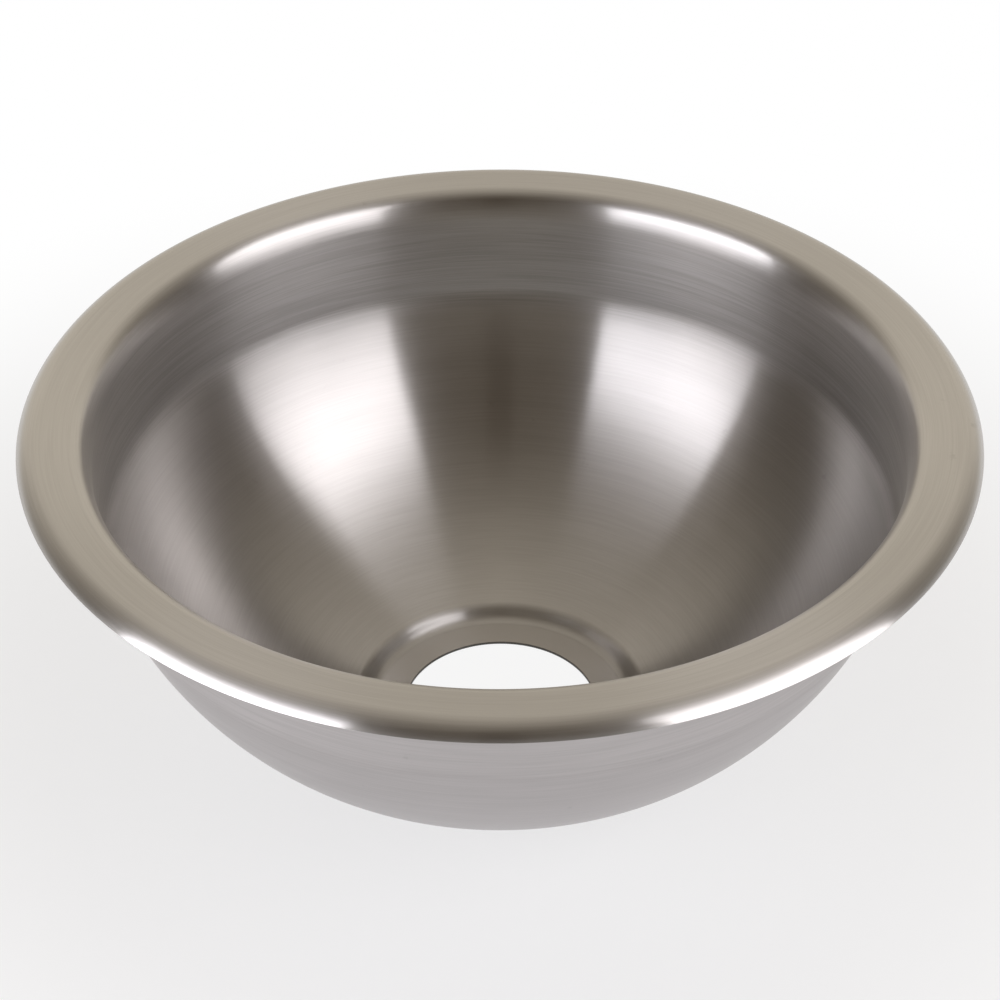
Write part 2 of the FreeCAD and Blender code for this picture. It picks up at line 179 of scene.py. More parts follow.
class BrushSizes(bpy.types.PropertyGroup):
    fine_line: length("Fine line", "Width of the finest brushed lines", 0.0004)
    middle_line: length("Middle line", "Width of the lines between fine and broad", 0.0011)
    broad_line: length("Broad line", "Width of the broadest bands", 0.007)
    line_height: length("Line height", "Relief of the brushed lines", 0.0000015)
    ripple_height: length("Ripple height", "Gentle unevenness of the drawn sheet", 0.00003)
    roll_border: length("Roll border", "Soft border between roll and flange", 0.004)
    rim_border: length("Rim border", "Soft border between the flange's fillet and the collar", 0.02)
    collar_border: length("Collar border", "Soft border at the foot of the collar", 0.01)
    step_border: length("Step border", "Soft border above the step", 0.004)
    # Painted light: the seat is coloured brighter to stand in for the light the flat ring reflects; these two
    # set where that starts and how soft its border is
    seat_start: length("Seat start", "The seat's brightness starts this far past the step", 0.001)
    seat_border: length("Seat border", "Soft border of the seat's brightness", 0.003)


class SteelLook(bpy.types.PropertyGroup):
    tone: colour("Steel", "Main colour of the brushed sheet", (0.552, 0.534, 0.518))
    streak_tone: colour("Streaks", "Darker lines of the brushing", (0.507, 0.49, 0.475))
    # The collar's darker colours are partly its harder brushing and partly painted shade
    collar_tone: colour("Collar", "Darker, harder brushed collar", (0.508, 0.491, 0.477))
    collar_streak: colour("Collar streaks", "Deeper lines on the collar", (0.419, 0.406, 0.394))
    # The seat's brighter colour is painted light, standing in for the light the flat ring reflects
    seat_tone: colour("Seat", "Brighter flat ring round the outlet", (0.72, 0.695, 0.675))
    seat_share: share("Seat share", "How far the ring takes its brighter colour", 0.85)
    outside_tone: colour("Outside", "Matt rolled face outside the bowl", (0.48, 0.457, 0.456))
    outside_streak: colour("Outside streaks", "Drawing lines on the matt face", (0.43, 0.409, 0.408))
    # The dark raw edge is partly the sheared steel and partly a painted shadow at the outlet's rim
    edge_tone: colour("Raw edge", "Sheared edge of the outlet", (0.09, 0.086, 0.08))
    mark_tone: colour("Marks", "Faint handling marks", (0.29, 0.285, 0.275))
    mark_share: share("Mark share", "Strength of the marks", 0.3)
    outside_marks: share("Outside marks", "Added strength of the marks on the matt face", 0.3)
    roughness: share("Roughness", "Mean roughness of the brushed sheet", 0.22)
    stretch: share("Stretch", "How far highlights are drawn out across the brushing", 1.0)
    haze_roughness: share("Haze roughness", "Roughness of the wider glow round highlights", 0.38)
    haze_stretch: share("Haze stretch", "How far the wider glow is drawn out", 0.85)
    collar_roughness: share("Collar roughness", "Added roughness of that glow on the collar", 0.08)
    outside_roughness: share("Outside roughness", "Roughness of the matt face", 0.42)
    fine_weight: share("Fine weight", "Share of the fine lines in the colour", 0.4)
    middle_weight: share("Middle weight", "Share of the middle lines in the colour", 0.4)
    broad_weight: share("Broad weight", "Share of the broad bands in the colour", 0.2)
    fine_relief: share("Fine relief", "Height of the fine lines against the middle ones", 0.5)
    line_swing: share("Line swing", "How far brushed lines change the roughness", 0.05)
    cloud_swing: share("Cloud swing", "How far broad clouds change the roughness", 0.03)
    haze_share: share("Haze share", "Part of the light that falls in the wider glow", 0.35)
    rim_haze: share("Rim haze", "The same on the flange and the fillet inside it", 0.6)
    roll_haze: share("Roll haze", "The same on the rolled edge", 0.45)
    collar_haze: share("Collar haze", "The same on the harder brushed collar", 0.6)
    step_haze: share("Step haze", "The same on the step and the outlet's seat", 0.75)


class HardwareLook(bpy.types.PropertyGroup):
    zinc: colour("Zinc", "Clear zinc plating", (0.6, 0.61, 0.63))
    zinc_tint: colour("Zinc tint", "Faint yellow passivation", (0.62, 0.58, 0.46))
    zinc_roughness: share("Zinc roughness", "Mean roughness of the plating", 0.34)
    stud: colour("Stud", "Rolled stainless thread", (0.52, 0.505, 0.48))
    stud_dirt: share("Stud dirt", "Brightness left in the oily places", 0.55)
    stud_roughness: share("Stud roughness", "Mean roughness of the thread", 0.3)
    foam: colour("Foam", "Closed-cell gasket", (0.03, 0.03, 0.032))
    foam_cells: colour("Foam cells", "Lighter cell walls of the foam", (0.075, 0.075, 0.078))
    foam_roughness: share("Foam roughness", "Mean roughness of the foam", 0.82)
    foam_gloss: share("Foam gloss", "Mirror share of the foam's skin", 0.3)


class StageSettings(bpy.types.PropertyGroup):
    floor_reach: length("Floor reach", "Floor's edge from the axis", 1.2)
    floor_tone: colour("Floor", "Pale studio floor", (0.8, 0.8, 0.81))
    floor_mottle: share("Floor mottle", "Brightness of the floor's darker spots", 0.97)
    floor_roughness: share("Floor roughness", "Roughness of the floor's paint", 0.6)
    shadow_share: share("Shadow share", "How far the floor's paint, with the shadow, shows", 0.37)
    outlet_shadow: share("Outlet shadow", "Part of that under the outlet", 0.3)
    outlet_start: length("Outlet start", "Where the floor under the outlet starts to darken", 0.045)
    outlet_end: length("Outlet end", "Where the floor has its full shadow", 0.055)
    shadow_start: length("Shadow start", "Where the shadow starts to fade to white", 0.2)
    shadow_end: length("Shadow end", "Where the floor is white", 0.5)
    world_light: share("World light", "Light of the white surroundings on the sink", 0.4)
    camera_distance: length("Camera distance", "From the aimed point", 1.386)
    camera_aim: length("Camera aim", "Height of the aimed point on the axis", 0.1204)
    camera_elevation: angle("Camera elevation", "Above the horizon", 37.19)
    camera_roll: angle("Camera roll", "Turn about the line of sight", 0.17)
    camera_lens: number("Lens", "Focal length in millimetres", 112.15)
    camera_sensor: number("Sensor", "Width of the sensor in millimetres", 36.0)


class TentSettings(bpy.types.PropertyGroup):
    radius: length("Radius", "Dome of cloth round the set", 5.0)
    rings: count("Rings", "Faces from the floor to the crown", 12)
    columns: count("Columns", "Faces round the dome", 48)
    tone: colour("Cloth", "Warm lit cloth", (0.72, 0.665, 0.57))
    shade: colour("Shade", "Brown dusk where the cloth is unlit", (0.034, 0.02, 0.008))
    strength: number("Strength", "Radiance of fully lit cloth", 1.25)
    dusk: share("Dusk", "Light on all of the cloth", 0.065)
    roof: share("Roof", "Further light overhead", 0.51)
    roof_fall: share("Roof fall", "How far the roof darkens to its sides", 0.9)
    back: share("Back", "Further light towards the back", 0.36)
    flanks: share("Flanks", "Further light at the back's two sides", 0.28)


class LeftSoftbox(bpy.types.PropertyGroup):
    bearing: angle("Bearing", "From straight in front of the sink", -56)
    distance: length("Distance", "From the sink's axis", 1.5)
    width: length("Width", "Across the lamp's face", 1.4)
    foot: length("Foot", "Height of the lower edge above the floor", -0.35)
    top: length("Top", "Height of the upper edge above the floor", 1.1)
    radiance: number("Radiance", "Brightness of the lamp's face", 4.45)
    tone: colour("Colour", "Bluish white", (0.94, 0.94, 1.0))


class RightSoftbox(bpy.types.PropertyGroup):
    bearing: angle("Bearing", "From straight in front of the sink", 59)
    distance: length("Distance", "From the sink's axis", 1.5)
    width: length("Width", "Across the lamp's face", 1.45)
    foot: length("Foot", "Height of the lower edge above the floor", -0.35)
    top: length("Top", "Height of the upper edge above the floor", 1.95)
    radiance: number("Radiance", "Brightness of the lamp's face", 3.1)
    tone: colour("Colour", "Slightly violet white", (0.968, 0.951, 0.985))


class SinkSettings(bpy.types.PropertyGroup):
    sheet: bpy.props.PointerProperty(type=SheetSizes)
    gasket: bpy.props.PointerProperty(type=GasketSizes)
    studs: bpy.props.PointerProperty(type=StudSizes)
    hardware: bpy.props.PointerProperty(type=HardwareSizes)
    brushing: bpy.props.PointerProperty(type=BrushSizes)
    steel: bpy.props.PointerProperty(type=SteelLook)
    finishes: bpy.props.PointerProperty(type=HardwareLook)
    stage: bpy.props.PointerProperty(type=StageSettings)
    tent: bpy.props.PointerProperty(type=TentSettings)
    left_softbox: bpy.props.PointerProperty(type=LeftSoftbox)
    right_softbox: bpy.props.PointerProperty(type=RightSoftbox)


def heading(turned):
    """Unit vector of a direction in the section's plane."""
    return Vector((math.cos(turned), math.sin(turned)))


def towards(place, centre):
    """Direction in which a place lies from a centre."""
    return math.atan2(place.y - centre.y, place.x - centre.x)


class Section:
    """Closed outline of a turned piece, drawn anticlockwise: points (radius, height) with outward normals."""

    def __init__(self):
        self.points = []
        self.normals = []

    def add(self, point, normal):
        self.points.append(Vector(point))
        self.normals.append(Vector(normal).normalized())

    def line(self, start, end, steps):
        """Straight run with its outside on the right."""
        start, end = Vector(start), Vector(end)
        run = end - start
        for step in range(steps + 1):
            self.add(start + run * step / steps, (run.y, -run.x))

    def arc(self, centre, radius, start, end, step=CORNER_STEP, hollow=False):
        """Round run between two directions; a hollow one has its outside towards the centre."""
        steps = max(2, math.ceil(abs(end - start) / step))
        for index in range(steps + 1):
            spoke = heading(start + (end - start) * index / steps)
            self.add(Vector(centre) + spoke * radius, -spoke if hollow else spoke)

    def corner(self, place, before, after, radius, steps=4):
        """Rounded corner between two faces given by their outward normals."""
        before, after = Vector(before).normalized(), Vector(after).normalized()
        centre = Vector(place) - (before + after) * radius / (1 + before.dot(after))
        for index in range(steps + 1):
            spoke = before.lerp(after, index / steps).normalized()
            self.add(centre + spoke * radius, spoke)

    def run_to(self, radius):
        """Distance along the outline from its start to where it first comes that near the axis."""
        run = 0.0
        for here, there in zip(self.points, self.points[1:]):
            run += (there - here).length
            if there.x < radius + SAME_PLACE:
                return run
        raise ValueError("the outline stays farther from the axis")


def without_repeats(section):
    """Leaves out points that stand on the one before, where two runs meet."""
    kept = Section()
    for point, normal in zip(section.points, section.normals):
        if not kept.points or (point - kept.points[-1]).length > SAME_PLACE:
            kept.add(point, normal)
    if (kept.points[0] - kept.points[-1]).length < SAME_PLACE:
        kept.points.pop()
        kept.normals.pop()
    return kept


def trimmed(before, after, radius):
    """How much of each face a rounded corner takes."""
    cosine = Vector(before).normalized().dot(Vector(after).normalized())
    return radius * math.sqrt((1 - cosine) / (1 + cosine))


def crossing(point, direction, centre, radius):
    """Where a line crosses a circle, at the crossing nearer to the line's own point."""
    offset = Vector(point) - Vector(centre)
    along = offset.dot(direction)
    reach = math.sqrt(along * along - offset.length_squared + radius * radius)
    step = min((-along - reach, -along + reach), key=abs)
    return Vector(point) + Vector(direction) * step


def turned_mesh(name, section, segments, start=0.0, sweep=FULL_TURN):
    """Turns a closed section about Z, with its exact normals and a map of turn and run along the section."""
    closed = math.isclose(sweep, FULL_TURN)
    columns = segments if closed else segments + 1
    points, normals = section.points, section.normals
    rows = len(points)
    places, facings, faces = [], [], []
    for column in range(columns):
        spin = Matrix.Rotation(start + sweep * column / segments, 3, "Z")
        places += [spin @ Vector((point.x, 0, point.y)) for point in points]
        facings += [spin @ Vector((normal.x, 0, normal.y)) for normal in normals]
    for column in range(segments):
        here, there = column * rows, (column + 1) % columns * rows
        for row in range(rows):
            after = (row + 1) % rows
            faces.append((here + row, there + row, there + after, here + after))
    if not closed:
        faces.append(tuple(range(rows)))
        faces.append(tuple(range(rows * segments, rows * columns))[::-1])
    mesh = bpy.data.meshes.new(name)
    mesh.from_pydata(places, [], faces)
    runs = [0.0]
    for here, there in zip(points, points[1:] + points[:1]):
        runs.append(runs[-1] + (there - here).length)
    brushing = mesh.uv_layers.new(name=BRUSH_MAP).data
    for face in range(segments * rows):
        column, row = divmod(face, rows)
        corners = ((column, row), (column + 1, row), (column + 1, row + 1), (column, row + 1))
        for loop, (turn, run) in zip(mesh.polygons[face].loop_indices, corners):
            brushing[loop].uv = (turn / segments, runs[run])
    mesh.shade_smooth()
    mesh.normals_split_custom_set_from_vertices(facings)
    mesh.validate(clean_customdata=False)
    piece = bpy.data.objects.new(name, mesh)
    bpy.context.scene.collection.objects.link(piece)
    return piece


def sheet_section(sizes):
    """The sheet's outline: its top face from the lip to the outlet, and its underside back again."""
    gauge, rim, rounding = sizes.thickness, sizes.rim_height, sizes.edge_rounding
    roll_centre = Vector((sizes.mouth_radius + sizes.flange_width, rim - sizes.roll_radius))
    lip_rise = sizes.lip_height - roll_centre.y
    mouth_centre = Vector((sizes.mouth_radius, rim - sizes.mouth_fillet))
    ease, taper, lean = math.pi - sizes.ease_angle, sizes.collar_taper, sizes.bowl_angle
    ease_centre = mouth_centre + heading(ease) * (sizes.mouth_fillet - sizes.ease_radius)
    collar_out = heading(math.pi - taper)
    collar_down = Vector((-collar_out.y, collar_out.x))
    collar_top = ease_centre + collar_out * sizes.ease_radius
    drop = (collar_top.y - (rim - sizes.collar_depth)) / -collar_down.y
    break_corner = collar_top + collar_down * drop
    seat_corner = Vector((sizes.outlet_radius + sizes.seat_width, gauge))
    step_corner = seat_corner + Vector((sizes.step_run, sizes.step_rise))

    # Bowl's arc, which leaves the break line at its lean and ends at the step
    chord = break_corner - step_corner
    chord_angle = math.atan2(chord.y, chord.x)
    bowl_radius = chord.length / 2 / math.sin(QUARTER_TURN - lean - chord_angle)
    bowl_centre = break_corner + heading(math.pi - lean) * bowl_radius

    # Centres of the rounded edges
    inward = break_corner + collar_out * sizes.break_radius
    break_centre = crossing(inward, collar_down, bowl_centre, bowl_radius - sizes.break_radius)
    bevel_angle = math.atan2(sizes.step_rise, sizes.step_run)
    bevel = heading(bevel_angle)
    bevel_out = Vector((-bevel.y, bevel.x))
    under = step_corner - bevel_out * sizes.step_edge_radius
    edge_centre = crossing(under, bevel, bowl_centre, bowl_radius + sizes.step_edge_radius)
    root_reach = sizes.step_root_radius * math.tan(bevel_angle / 2)
    root_centre = seat_corner + Vector((-root_reach, sizes.step_root_radius))

    def face(depth):
        """One face of the sheet from the flange's roll to the outlet, depth under the top."""
        side = Section()
        roll = sizes.roll_radius - depth
        lip = math.asin(lip_rise / roll)
        facing = heading(lip) if depth == 0 else -heading(lip)
        trim = trimmed(facing, (0, -1), rounding) / roll
        side.arc(roll_centre, roll, lip + trim, QUARTER_TURN)
        flange_end = Vector((sizes.mouth_radius, rim - depth))
        side.line((roll_centre.x, rim - depth), flange_end, steps=4)
        side.arc(mouth_centre, sizes.mouth_fillet - depth, QUARTER_TURN, ease)
        side.arc(ease_centre, sizes.ease_radius - depth, ease, math.pi - taper, EASE_STEP)
        bend = sizes.break_radius + depth
        side.line(collar_top - collar_out * depth, break_centre - collar_out * bend, steps=8)
        bend_end = towards(break_centre, bowl_centre)
        side.arc(break_centre, bend, -taper, bend_end, BREAK_STEP, hollow=True)
        bowl_end = towards(edge_centre, bowl_centre)
        side.arc(bowl_centre, bowl_radius + depth, bend_end, bowl_end, BOWL_STEP, hollow=True)
        edge = sizes.step_edge_radius - depth
        side.arc(edge_centre, edge, towards(bowl_centre, edge_centre), QUARTER_TURN + bevel_angle)
        root = sizes.step_root_radius + depth
        side.line(edge_centre + bevel_out * edge, root_centre - bevel_out * root, steps=2)
        side.arc(root_centre, root, bevel_angle - QUARTER_TURN, -QUARTER_TURN, hollow=True)
        bore = Vector((sizes.outlet_radius + rounding, gauge - depth))
        side.line((root_centre.x, gauge - depth), bore, steps=3)
        return side

    top, underside = face(0), face(gauge)
    whole = Section()
    whole.points = top.points[:]
    whole.normals = top.normals[:]
    whole.corner((sizes.outlet_radius, gauge), (0, 1), (-1, 0), rounding)
    whole.corner((sizes.outlet_radius, 0), (-1, 0), (0, -1), rounding)
    whole.points += underside.points[::-1]
    whole.normals += [-normal for normal in underside.normals[::-1]]
    inner_roll = sizes.roll_radius - gauge
    inner_lip = heading(math.asin(lip_rise / inner_roll))
    whole.corner(roll_centre + inner_lip * inner_roll, -inner_lip, (0, -1), rounding)
    outer_lip = heading(math.asin(lip_rise / sizes.roll_radius))
    whole.corner(roll_centre + outer_lip * sizes.roll_radius, (0, -1), outer_lip, rounding)
    return without_repeats(whole)


def gasket_section(sheet, sizes):
    """Half-round foam strip that lies in the rolled edge, drawn from its inner foot along the sole."""
    centre = Vector((sheet.mouth_radius + sheet.flange_width, sheet.rim_height - sheet.roll_radius))
    reach = sheet.roll_radius - sheet.thickness - sizes.gap
    inside = centre.x + sizes.inset
    base = sheet.lip_height + sizes.setback
    high = math.acos(sizes.inset / reach)
    low = math.asin((base - centre.y) / reach)
    crown, heel = heading(high), heading(low)
    from_foot = trimmed((0, -1), heel, sizes.rounding) / reach
    from_top = trimmed(crown, (-1, 0), sizes.rounding) / reach
    section = Section()
    section.corner((inside, base), (-1, 0), (0, -1), sizes.rounding)
    section.corner(centre + heel * reach, (0, -1), heel, sizes.rounding)
    section.arc(centre, reach, low + from_foot, high - from_top)
    section.corner(centre + crown * reach, crown, (-1, 0), sizes.rounding)
    return without_repeats(section)


def stud_rings(sizes, tip, top):
    """Rings of (radius, height) of one stud from its weld base through the thread to its chamfered end."""
    neck = top - sizes.base_height
    thread_top = neck - sizes.plain_length
    row_step = sizes.pitch / sizes.rows
    weld_face, foot = 0.55 * sizes.base_rim, 0.7 * sizes.base_rim
    shoulder, skirt = top - 0.15 * sizes.base_height, neck + 0.3 * sizes.base_height
    fillet_start, fillet_end = neck - 0.1 * sizes.weld_fillet, neck - sizes.weld_fillet
    base = (
        (weld_face, top),
        (sizes.base_rim, shoulder),
        (sizes.base_rim, skirt),
        (foot, neck),
        (sizes.weld_fillet, fillet_start),
        (0.0, fillet_end),
    )
    rings = [[(sizes.shank_radius + extra, height)] * sizes.segments for extra, height in base]
    for row in range(math.ceil((thread_top - tip) / row_step) + 1):
        height = max(tip, thread_top - row * row_step)
        runout = min(1.0, (thread_top - height) / sizes.pitch)
        chamfer = sizes.shank_radius - sizes.tip_chamfer + height - tip
        ring = []
        for column in range(sizes.segments):
            phase = (height / sizes.pitch + column / sizes.segments) % 1
            groove = min(1.0, sizes.flank_slope * (1 - abs(2 * phase - 1)))
            radius = sizes.shank_radius - sizes.thread_depth * groove * runout
            ring.append((min(radius, chamfer), height))
        rings.append(ring)
    return rings


def threaded_stud(sizes, tip, top):
    """Places and faces of one stud on the Z axis."""
    rings = stud_rings(sizes, tip, top)
    columns = sizes.segments
    places, faces = [], []
    for ring in rings:
        for column, (radius, height) in enumerate(ring):
            around = heading(FULL_TURN * column / columns) * radius
            places.append(Vector((around.x, around.y, height)))
    for row in range(len(rings) - 1):
        upper, lower = row * columns, (row + 1) * columns
        for column in range(columns):
            after = (column + 1) % columns
            faces.append((upper + column, lower + column, lower + after, upper + after))
    last = (len(rings) - 1) * columns
    faces.append(tuple(range(columns)))
    faces.append(tuple(last + column for column in reversed(range(columns))))
    return places, faces


class Flow:
    """A shader value or colour; sums with it add Math nodes to its tree."""

    def __init__(self, finish, socket):
        self.finish = finish
        self.socket = socket

    def _math(self, operation, first, second):
        return self.finish.node("ShaderNodeMath", {"operation": operation}, {0: first, 1: second})

    def __add__(self, other):
        return self._math("ADD", self, other)

    __radd__ = __add__

    def __sub__(self, other):
        return self._math("SUBTRACT", self, other)

    def __rsub__(self, other):
        return self._math("SUBTRACT", other, self)

    def __mul__(self, other):
        return self._math("MULTIPLY", self, other)

    __rmul__ = __mul__

    def __truediv__(self, other):
        return self._math("DIVIDE", self, other)

    def __rtruediv__(self, other):
        return self._math("DIVIDE", other, self)


class Finish:
    """Builds the node tree of a material or of the world."""

    def __init__(self, block):
        block.use_nodes = True
        self.block = block
        self.tree = block.node_tree
        self.tree.nodes.clear()

    def node(self, kind, settings=None, inputs=None, output=0):
        """Adds a node: its settings first, then the values or links of its sockets."""
        added = self.tree.nodes.new(kind)
        for name, value in (settings or {}).items():
            setattr(added, name, value)
        for name, value in (inputs or {}).items():
            if isinstance(value, Flow):
                self.tree.links.new(value.socket, added.inputs[name])
            else:
                added.inputs[name].default_value = value
        return Flow(self, added.outputs[output]) if len(added.outputs) else None

    def place(self):
        """Where a point lies in the object's own frame."""
        return self.node("ShaderNodeTexCoord", {}, {}, "Object")

    def limited(self, value, low, high, to_low=0.0, to_high=1.0):
        """Runs smoothly between two levels as a value passes from low to high."""
        ends = {"Value": value, "From Min": low, "From Max": high, "To Min": to_low, "To Max": to_high}
        return self.node("ShaderNodeMapRange", {"interpolation_type": "SMOOTHSTEP"}, ends)

    def swing(self, noise, width):
        """A noise's swing about its mean, as wide as asked."""
        return (noise - NOISE_MEAN) * width

    def blend(self, factor, first, second):
        """Mixes two colours."""
        sockets = {0: factor, 6: opaque(first), 7: opaque(second)}
        return self.node("ShaderNodeMix", {"data_type": "RGBA"}, sockets, 2)

    def mix(self, factor, first, second):
        """Mixes two shaders."""
        return self.node("ShaderNodeMixShader", {}, {0: factor, 1: first, 2: second})

    def noise(self, place, scale, detail=2.0, roughness=0.5):
        sockets = {"Vector": place, "Scale": scale, "Detail": detail, "Roughness": roughness}
        return self.node("ShaderNodeTexNoise", {}, sockets)

    def relief(self, height, distance, strength=1.0):
        return self.node("ShaderNodeBump", {}, {"Height": height, "Distance": distance, "Strength": strength})

    def split(self, vector):
        """The three parts of a vector."""
        return [self.node("ShaderNodeSeparateXYZ", {}, {"Vector": vector}, index) for index in range(3)]

    def join(self, x, y, z):
        return self.node("ShaderNodeCombineXYZ", {}, {"X": x, "Y": y, "Z": z})

    def function(self, operation, value):
        """A sum with one value, such as its sine."""
        return self.node("ShaderNodeMath", {"operation": operation}, {0: value})

    def principled(self, sockets):
        return self.node("ShaderNodeBsdfPrincipled", {}, sockets)

    def close(self, shader):
        """Ends the tree in a shader and gives back its material or world."""
        world = isinstance(self.block, bpy.types.World)
        self.node("ShaderNodeOutputWorld" if world else "ShaderNodeOutputMaterial", {}, {"Surface": shader})
        return self.block


def opaque(value):
    """A colour with its alpha, where it is written as three numbers."""
    return value if isinstance(value, Flow) else (*value, 1.0)


def dimmed(tone, brightness):
    """A darker shade of a colour."""
    return tuple(brightness * part for part in tone)


class SheetZones:
    """Masks of the sheet's parts, by the run along its outline from the lip over the top to the underside."""

    def __init__(self, finish, run, section, sizes, brushing):
        gauge = sizes.thickness
        edge_shade_reach, corner = 0.5 * gauge, 0.1 * gauge
        seat_edge = sizes.outlet_radius + sizes.seat_width
        roll_run = section.run_to(sizes.mouth_radius + sizes.flange_width)
        collar_run = section.run_to(sizes.mouth_radius - sizes.mouth_fillet)
        collar_foot = sizes.mouth_radius - 2.0 * sizes.mouth_fillet
        break_run = section.run_to(collar_foot)
        step_run = section.run_to(seat_edge + sizes.step_run)
        seat_painted_light_run = section.run_to(seat_edge) + brushing.seat_start
        outlet_run = section.run_to(sizes.outlet_radius)
        underside_run = outlet_run + gauge

        def past(start, end):
            return finish.limited(run, start, end)

        def before(start, end):
            return finish.limited(run, start, end, 1.0, 0.0)

        self.roll = before(roll_run - brushing.roll_border, roll_run)
        self.rim = before(collar_run, collar_run + brushing.rim_border)
        # Collar mask: harder brushing, and the collar's painted shade
        self.collar = (1.0 - self.rim) * before(break_run - brushing.collar_border, break_run)
        self.step = past(step_run - brushing.step_border, step_run)
        # Mask of the seat's painted light
        self.seat = past(seat_painted_light_run, seat_painted_light_run + brushing.seat_border)
        # The outlet's bore, with a painted shadow reaching half a gauge onto the seat
        self.sheared = past(outlet_run - edge_shade_reach, outlet_run - corner)
        self.outside = past(underside_run - corner, underside_run + corner)


def brushed_steel(sink, section):
    """Sheet brushed round its axis, with drawn-out highlights and faint marks; matt outside the bowl."""
    look, brushing = sink.steel, sink.brushing
    finish = Finish(bpy.data.materials.new("brushed_stainless"))
    turn, run, _ = finish.split(finish.node("ShaderNodeUVMap", {"uv_map": BRUSH_MAP}))
    turned = turn * FULL_TURN
    east, north = finish.function("COSINE", turned), finish.function("SINE", turned)
    place = finish.place()
    zones = SheetZones(finish, run, section, sink.sheet, brushing)

    def lines(reach, width):
        """Noise that keeps to circles: reach sets how short a line is, width how broad."""
        along = finish.join(east * reach, north * reach, run / width)
        return finish.noise(along, scale=1.0, detail=1.0)

    fine = lines(reach=5.0, width=brushing.fine_line)
    middle = lines(reach=3.0, width=brushing.middle_line)
    broad = lines(reach=1.5, width=brushing.broad_line)
    clouds = finish.noise(place, scale=14.0)
    spots = finish.noise(place, scale=85.0, detail=3.0, roughness=0.6)
    mixed = fine * look.fine_weight + middle * look.middle_weight + broad * look.broad_weight
    grain = finish.limited(mixed, low=0.35, high=0.65)

    # Colour, from the brushed inside over the seat and the outlet's edge to the matt outside
    # Darker collar: partly harder brushing, partly painted shade
    streaks = finish.blend(zones.collar, look.streak_tone, look.collar_streak)
    crests = finish.blend(zones.collar, look.tone, look.collar_tone)
    brushed = finish.blend(grain, streaks, crests)
    # The seat is painted brighter: a painted reflection of light
    with_seat_painted_light = finish.blend(zones.seat * look.seat_share, brushed, look.seat_tone)
    # The outlet's edge is dark: partly raw sheared steel, partly painted shadow
    inside_tone = finish.blend(zones.sheared, with_seat_painted_light, look.edge_tone)
    outside_tone = finish.blend(grain, look.outside_streak, look.outside_tone)
    sheet = finish.blend(zones.outside, inside_tone, outside_tone)
    marks = finish.limited(spots, low=0.7, high=0.8) * (look.mark_share + zones.outside * look.outside_marks)
    tone = finish.blend(marks, sheet, look.mark_tone)

    scratches = fine * look.fine_relief + middle
    height = scratches * brushing.line_height + clouds * brushing.ripple_height
    normal = finish.relief(height, distance=1.0)
    uneven = finish.swing(middle, look.line_swing) + finish.swing(clouds, look.cloud_swing)

    def lobe(roughness, stretch):
        """One highlight of the steel, drawn out across the lines."""
        return finish.principled({
            "Base Color": tone,
            "Metallic": 1.0,
            "Roughness": roughness + uneven,
            "Anisotropic": stretch,
            "Anisotropic Rotation": QUARTER_TURN / FULL_TURN,
            "Normal": normal,
        })

    core = lobe(look.roughness, look.stretch)
    haze = lobe(look.haze_roughness + zones.collar * look.collar_roughness, look.haze_stretch)
    matt = lobe(look.outside_roughness, 0.0)
    spread = look.haze_share + zones.rim * (look.rim_haze - look.haze_share)
    spread += zones.roll * (look.roll_haze - look.rim_haze)
    spread += zones.collar * (look.collar_haze - look.haze_share)
    spread += zones.step * (look.step_haze - look.haze_share)
    inside = finish.mix(spread, core, haze)
    return finish.close(finish.mix(zones.outside, inside, matt))


def zinc_plate(look, name):
    """Clear-passivated zinc: fine crystalline speckle with faint warm clouds."""
    finish = Finish(bpy.data.materials.new(name))
    place = finish.place()
    clouds = finish.noise(place, scale=220.0, detail=3.0)
    speckle = finish.noise(place, scale=2600.0)
    uneven = finish.swing(speckle, width=0.25) + finish.swing(clouds, width=0.12)
    return finish.close(finish.principled({
        "Base Color": finish.blend(finish.limited(clouds, low=0.42, high=0.68), look.zinc, look.zinc_tint),
        "Metallic": 1.0,
        "Roughness": look.zinc_roughness + uneven,
        "Normal": finish.relief(speckle, distance=0.00002, strength=0.5),
    }))


def rolled_thread(look):
    """Stainless stud with a drawn grain and darker, oily places."""
    finish = Finish(bpy.data.materials.new("rolled_thread"))
    place = finish.place()
    grain = finish.noise(place, scale=1800.0, detail=3.0)
    clean = finish.limited(finish.noise(place, scale=300.0), low=0.35, high=0.6)
    return finish.close(finish.principled({
        "Base Color": finish.blend(clean, dimmed(look.stud, look.stud_dirt), look.stud),
        "Metallic": 1.0,
        "Roughness": look.stud_roughness + finish.swing(grain, width=0.2),
        "Normal": finish.relief(grain, distance=0.00001, strength=0.4),
    }))


def foam(look):
    """Closed-cell foam: small round cells with paler walls."""
    finish = Finish(bpy.data.materials.new("closed_cell_foam"))
    place = finish.place()
    cells = finish.node("ShaderNodeTexVoronoi", {}, {"Vector": place, "Scale": 1400.0}, "Distance")
    uneven = finish.noise(place, scale=90.0)
    return finish.close(finish.principled({
        "Base Color": finish.blend(finish.limited(cells, low=0.25, high=0.75), look.foam, look.foam_cells),
        "Roughness": look.foam_roughness + finish.swing(uneven, width=0.2),
        "Specular IOR Level": look.foam_gloss,
        "Normal": finish.relief(cells, distance=0.00025, strength=0.7),
    }))


class SINK_OT_sheet(bpy.types.Operator):
    """Turn the drawn sheet and brush it"""

    bl_idname = "sink.sheet"
    bl_label = "Sheet"

    def execute(self, context):
        sink = context.scene.sink
        section = sheet_section(sink.sheet)
        sheet = turned_mesh("sink_sheet", section, sink.sheet.segments)
        sheet.data.materials.append(brushed_steel(sink, section))
        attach(sheet, "sink")
        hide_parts("bowl")
        return {"FINISHED"}


